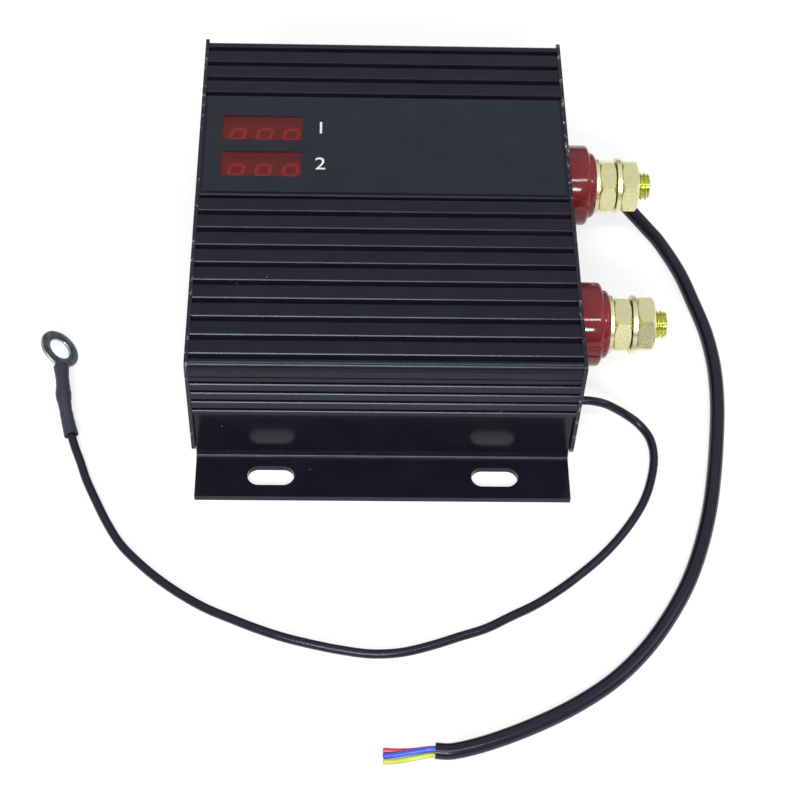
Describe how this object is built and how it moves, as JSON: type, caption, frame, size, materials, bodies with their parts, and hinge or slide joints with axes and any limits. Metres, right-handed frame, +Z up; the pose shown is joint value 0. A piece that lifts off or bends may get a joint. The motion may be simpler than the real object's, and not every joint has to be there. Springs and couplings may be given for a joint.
{
  "type": "battery isolator relay",
  "caption": "Battery isolator relay in a ribbed extruded housing with slotted flanges, insulated power studs, digital display windows, an earth lead and a control cable.",
  "frame": {"origin": "centre of the mounting slots, on the mounting surface under the flanges", "axes": "+X towards the power studs, +Y towards the side of the control cable, +Z up"},
  "size_m": [0.19, 0.2192, 0.0437],
  "materials": {
    "black_anodised": "black anodised, satin",
    "black_plate": "black anodised sheet",
    "black_screw": "black zinc",
    "label_film": "printed film, satin",
    "red_window": "deep red tinted",
    "display_resin": "moulded",
    "board_laminate": "green solder mask",
    "black_component": "moulded",
    "capacitor_sleeve": "sleeved",
    "cream_connector": "moulded",
    "relay_iron": "zinc plated",
    "bobbin_plastic": "moulded",
    "enamelled_wire": "enamelled copper wire",
    "tinned_metal": "tinned",
    "bright_steel": "bright",
    "carrier_laminate": "laminated board",
    "copper_bar": "bare copper",
    "contact_silver": "silver faced",
    "black_moulding": "moulded",
    "stud_brass": "bright threaded brass",
    "red_moulding": "deep red, polished",
    "pale_washer": "pale plated",
    "nut_brass": "yellow plated, fine grained",
    "grommet_rubber": "satin",
    "cord_black": "smooth, slightly glossy",
    "sleeve_shrink": "shrunk, matt",
    "lug_tin": "tinned",
    "core_red": "smooth",
    "core_blue": "smooth",
    "core_yellow": "smooth"
  },
  "bodies": {
    "housing": {"base_extrusion": "black_anodised", "lid_extrusion": "black_anodised", "left_end_plate": "black_plate", "right_end_plate": "black_plate", "end_plate_screws": "black_screw", "face_label": "label_film", "window_filter_front": "red_window", "window_filter_rear": "red_window", "display_front": "display_resin", "display_rear": "display_resin", "circuit_board": "board_laminate", "controller_chip": "black_component", "capacitors": "capacitor_sleeve", "voltage_regulator": "black_component", "earth_connector": "cream_connector", "control_connector": "cream_connector", "relay_yoke": "relay_iron", "coil_core": "relay_iron", "coil_bobbin": "bobbin_plastic", "coil_winding": "enamelled_wire", "coil_pins": "tinned_metal", "hinge_pin": "bright_steel", "return_spring": "bright_steel", "contact_base": "black_moulding", "fixed_contacts": "contact_silver", "relay_screws": "bright_steel", "busbar_front": "copper_bar", "busbar_rear": "copper_bar", "terminal_stud_front": "stud_brass", "terminal_stud_rear": "stud_brass", "bushing_front": "red_moulding", "bushing_rear": "red_moulding", "inner_insulators": "red_moulding", "seat_washers": "pale_washer", "inner_nuts": "nut_brass", "lead_grommet": "grommet_rubber", "cable_grommet": "grommet_rubber", "earth_lead": "cord_black", "heat_shrink_sleeve": "sleeve_shrink", "ring_lug": "lug_tin", "control_cable": "cord_black", "core_red": "core_red", "core_blue": "core_blue", "core_yellow": "core_yellow", "earth_wire_inside": "cord_black", "control_wire_inside": "cord_black"},
    "armature": {"armature_plate": "relay_iron", "contact_carrier": "carrier_laminate", "bridge_contact": "copper_bar", "carrier_rivets": "bright_steel"},
    "front_washer": {"lug_washer_front": "pale_washer"},
    "front_nut": {"outer_nut_front": "nut_brass"},
    "rear_washer": {"lug_washer_rear": "pale_washer"},
    "rear_nut": {"outer_nut_rear": "nut_brass"}
  },
  "joints": [
    {"name": "armature_pivot", "type": "hinge", "parent": "housing", "child": "armature", "pos_m": [-0.014, 0, 0.0264], "axis": [0, 1, 0], "range_deg": [0, 4.2], "stiffness_Nm_per_rad": 0.05, "springref_deg": -11.46, "deforming": ["return_spring"]},
    {"name": "front_washer_slide", "type": "slide", "parent": "housing", "child": "front_washer", "axis": [1, 0, 0], "range_m": [0, 0.003]},
    {"name": "front_nut_spin", "type": "hinge", "parent": "front_washer", "child": "front_nut", "pos_m": [0.0713, -0.02575, 0.01955], "axis": [1, 0, 0], "range_deg": [0, 865]},
    {"name": "rear_washer_slide", "type": "slide", "parent": "housing", "child": "rear_washer", "axis": [1, 0, 0], "range_m": [0, 0.003]},
    {"name": "rear_nut_spin", "type": "hinge", "parent": "rear_washer", "child": "rear_nut", "pos_m": [0.0713, 0.02575, 0.01955], "axis": [1, 0, 0], "range_deg": [0, 865]}
  ],
  "couplings": [
    {"joint": "front_nut_spin", "follows": "front_washer_slide", "rad_per_m": 5026.5},
    {"joint": "rear_nut_spin", "follows": "rear_washer_slide", "rad_per_m": 5026.5}
  ]
}
